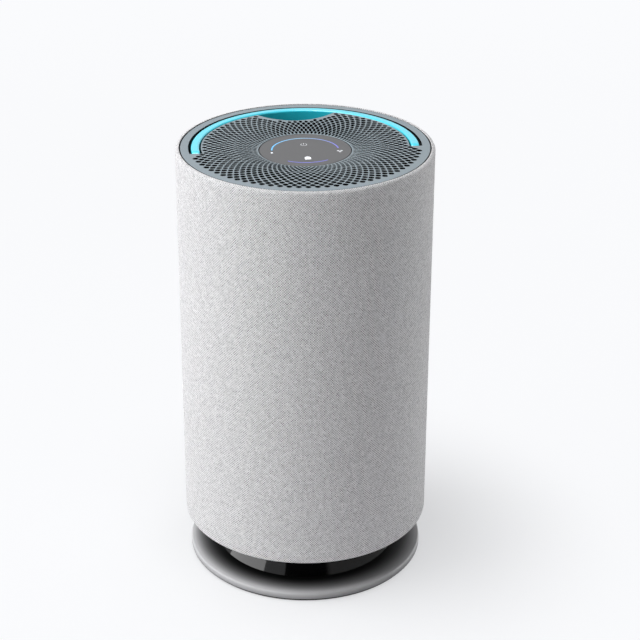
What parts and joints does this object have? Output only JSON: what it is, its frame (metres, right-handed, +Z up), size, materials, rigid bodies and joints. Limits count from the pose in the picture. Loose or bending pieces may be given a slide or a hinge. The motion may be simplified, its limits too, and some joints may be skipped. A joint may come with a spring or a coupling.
{
  "type": "air purifier",
  "caption": "Cylindrical air purifier: fabric drum twist-locked on a pedestal, perforated outlet plate with a round display, folding carry handle, fan and ring filter inside.",
  "frame": {"origin": "middle of the foot ring's underside, on the floor", "axes": "+Z up along the drum's axis, -Y to the front where the display is read, +Y to the back with the finger pocket and the mains inlet, +X to the user's right"},
  "size_m": [0.252, 0.252, 0.4471],
  "materials": {
    "rubber": "matt moulded rubber",
    "satin_grey": "satin moulded plastic",
    "gloss_black": "high gloss",
    "steel": "plain zinc-plated steel",
    "black_plastic": "fine moulded grain",
    "grey_plastic": "plain moulded plastic",
    "white_plastic": "plain moulded plastic",
    "carbon": "bonded granules",
    "filter_paper": "pleated fibre paper",
    "filter_net": "fine knitted net",
    "seal_foam": "closed-cell foam",
    "fabric_grey": "light grey melange twill",
    "motor_case": "plain pressed case",
    "plate_grey": "satin blue-grey",
    "dark_display": "smooth dark panel",
    "board_green": "printed board",
    "light_violet": "clear light guide, lit",
    "brass": "plain",
    "turquoise": "satin turquoise"
  },
  "bodies": {
    "base": {"base_foot": "rubber", "base_plate": "satin_grey", "neck": "gloss_black", "base_screws": "steel", "hatch_screws": "steel", "hatch_plate": "black_plastic", "filter_bottom_cap": "white_plastic", "filter_top_cap": "white_plastic", "carbon_core": "carbon", "filter_media": "filter_paper", "prefilter_net": "filter_net", "filter_seal": "seal_foam"},
    "housing": {"bottom_ring": "black_plastic", "ring_screws": "steel", "intake_cage": "black_plastic", "upper_shell": "black_plastic", "fabric_sleeve": "fabric_grey", "fan_deck": "black_plastic", "fan_duct": "grey_plastic", "duct_screws": "steel", "fan_motor": "motor_case", "motor_bearings": "steel", "motor_screws": "steel", "diffuser": "grey_plastic", "top_grille": "plate_grey", "handle_trough": "black_plastic", "pivot_bushes": "white_plastic", "display_window": "dark_display", "display_cup": "black_plastic", "display_board": "board_green", "light_guides": "light_violet", "power_inlet": "black_plastic", "inlet_contacts": "brass", "power_supply": "grey_plastic", "dust_sensor": "grey_plastic"},
    "impeller": {"fan_impeller": "white_plastic", "impeller_nut": "steel", "motor_shaft": "steel"},
    "handle": {"carry_handle": "turquoise", "handle_pins": "steel"}
  },
  "joints": [
    {"name": "twist_lock", "type": "hinge", "parent": "base", "child": "housing", "pos_m": [0, 0, 0.055], "axis": [0, 0, 1], "range_deg": [0, 30]},
    {"name": "fan_spin", "type": "hinge", "parent": "housing", "child": "impeller", "pos_m": [0, 0, 0.301], "axis": [0, 0, 1], "continuous": true},
    {"name": "handle_fold", "type": "hinge", "parent": "housing", "child": "handle", "pos_m": [0, -0.006, 0.4409], "axis": [1, 0, 0], "range_deg": [0, 90]}
  ]
}
